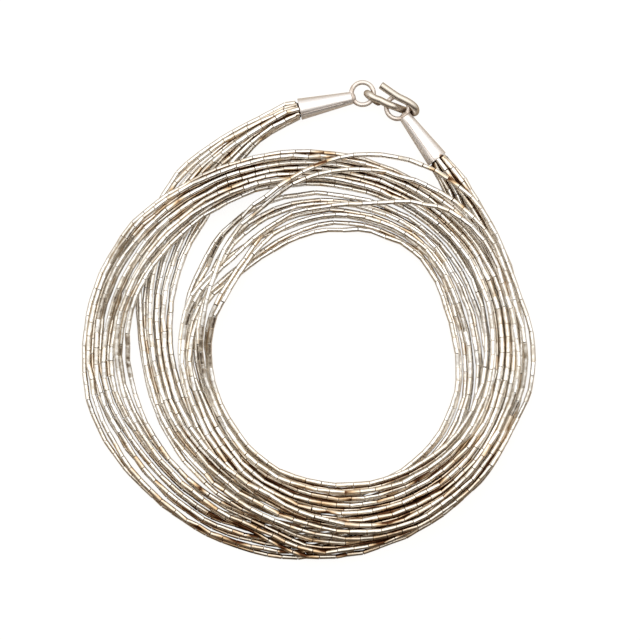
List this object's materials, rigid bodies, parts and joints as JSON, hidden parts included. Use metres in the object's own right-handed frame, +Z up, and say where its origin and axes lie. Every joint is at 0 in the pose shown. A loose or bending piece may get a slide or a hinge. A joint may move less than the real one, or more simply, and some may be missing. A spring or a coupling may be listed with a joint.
{
  "type": "multi-strand beaded necklace",
  "caption": "Necklace of many strings of thin metal tube beads, coiled flat, gathered into end cones with rings that a plain S hook joins",
  "frame": {"origin": "middle of the whole necklace's length and width, on the surface that it lies on", "axes": "+Z up from the surface; the clasp is at the back, in +Y; +X to the right as the picture shows it from above"},
  "size_m": [0.0816, 0.0864, 0.0084],
  "materials": {
    "beads": "polished silver tube beads, warm tarnish between them",
    "cones": "polished sheet silver",
    "hook": "polished silver wire, a little tarnished"
  },
  "bodies": {
    "root": {"cone_left": "cones", "cone_right": "cones", "hook": "hook", "strand_01": "beads", "strand_02": "beads", "strand_03": "beads", "strand_04": "beads", "strand_05": "beads", "strand_06": "beads", "strand_07": "beads", "strand_08": "beads", "strand_09": "beads", "strand_10": "beads", "strand_11": "beads"}
  },
  "joints": []
}
